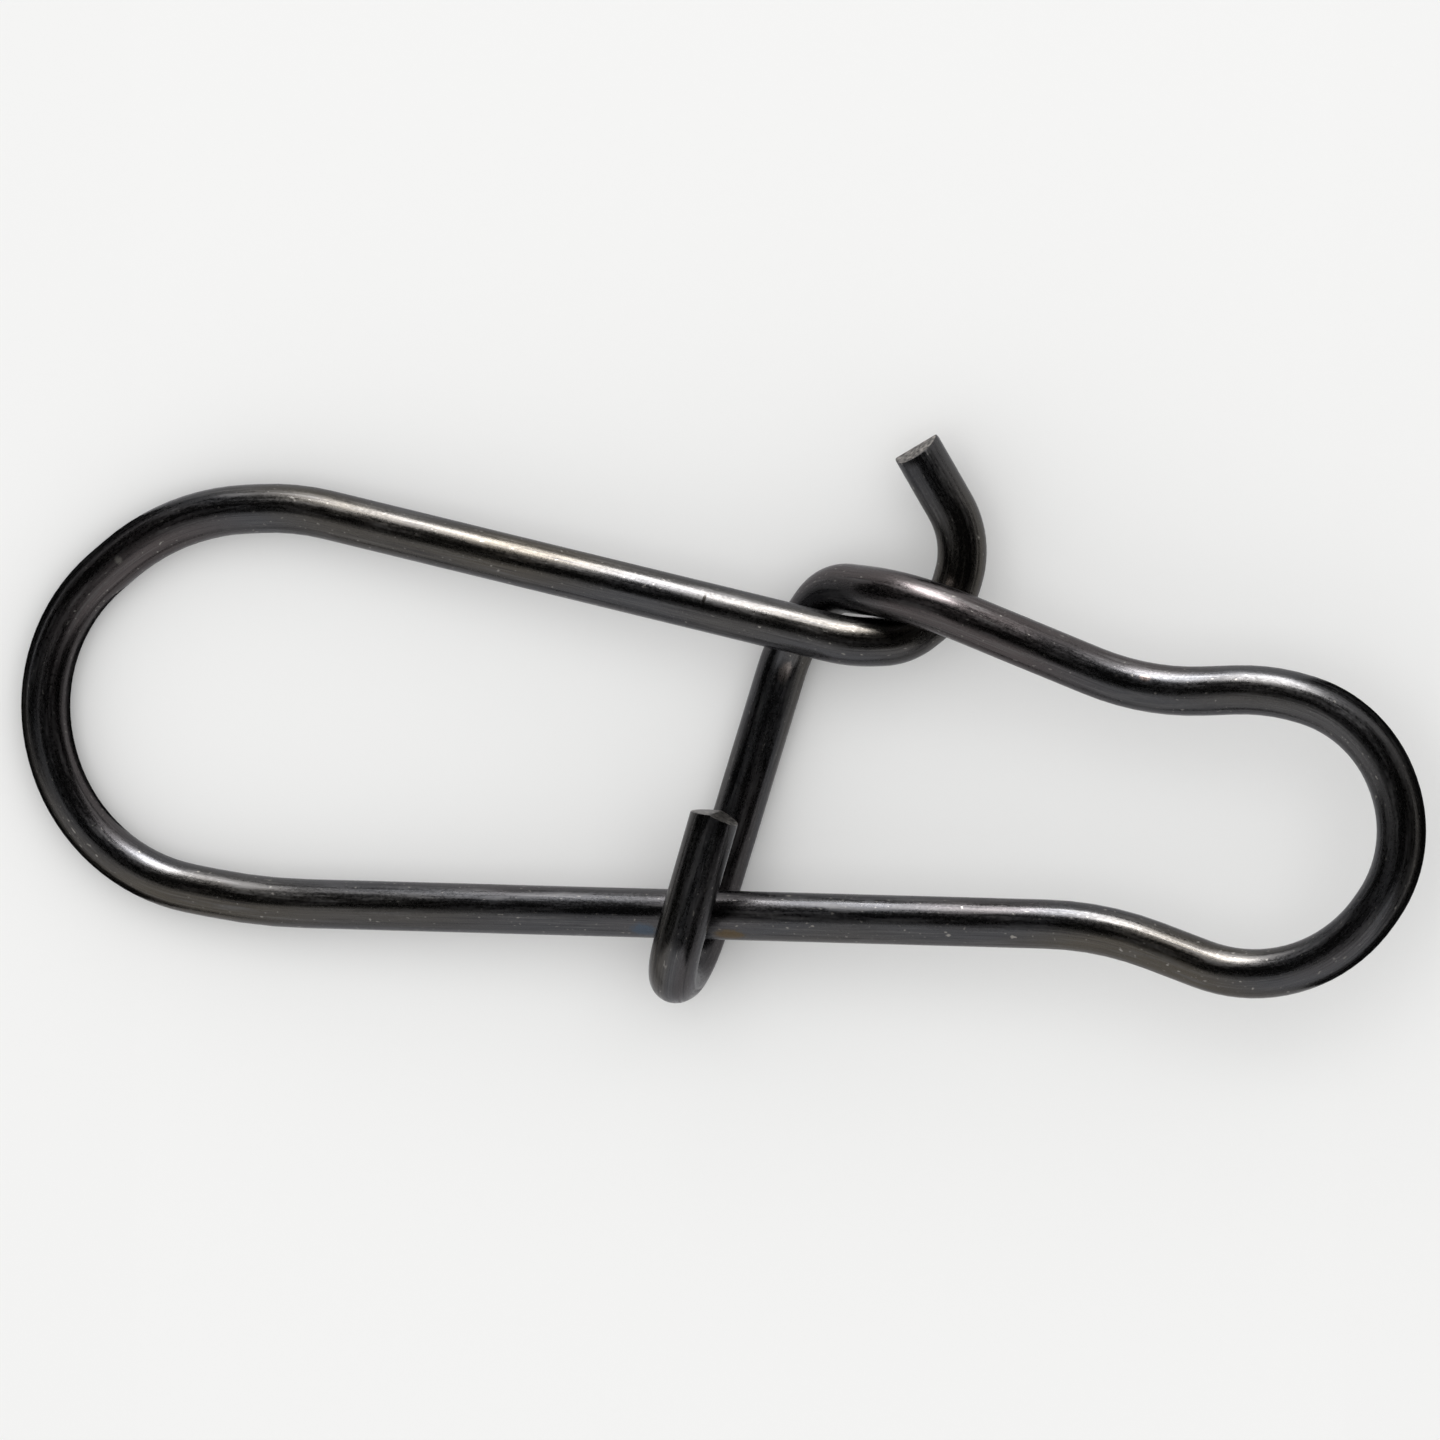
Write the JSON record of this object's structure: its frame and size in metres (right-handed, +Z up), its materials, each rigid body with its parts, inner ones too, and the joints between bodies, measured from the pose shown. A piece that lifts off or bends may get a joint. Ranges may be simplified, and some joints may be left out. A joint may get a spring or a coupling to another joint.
{
  "type": "duo-lock snap",
  "caption": "Spring-wire snap with a long loop and a short loop whose hooked ends grip each other and the wire's straight side.",
  "frame": {"origin": "on the table, at the centre of the underside of the snap's bounding box as it lies on its back", "axes": "+X along the snap towards its small loop, +Y across from the shank to the arms, +Z up, out of its front"},
  "size_m": [0.0294, 0.0116, 0.0033],
  "materials": {
    "wire": "black nickel plate, glossy, with fine drawing lines"
  },
  "bodies": {
    "root": {"snap_wire": "wire"}
  },
  "joints": []
}
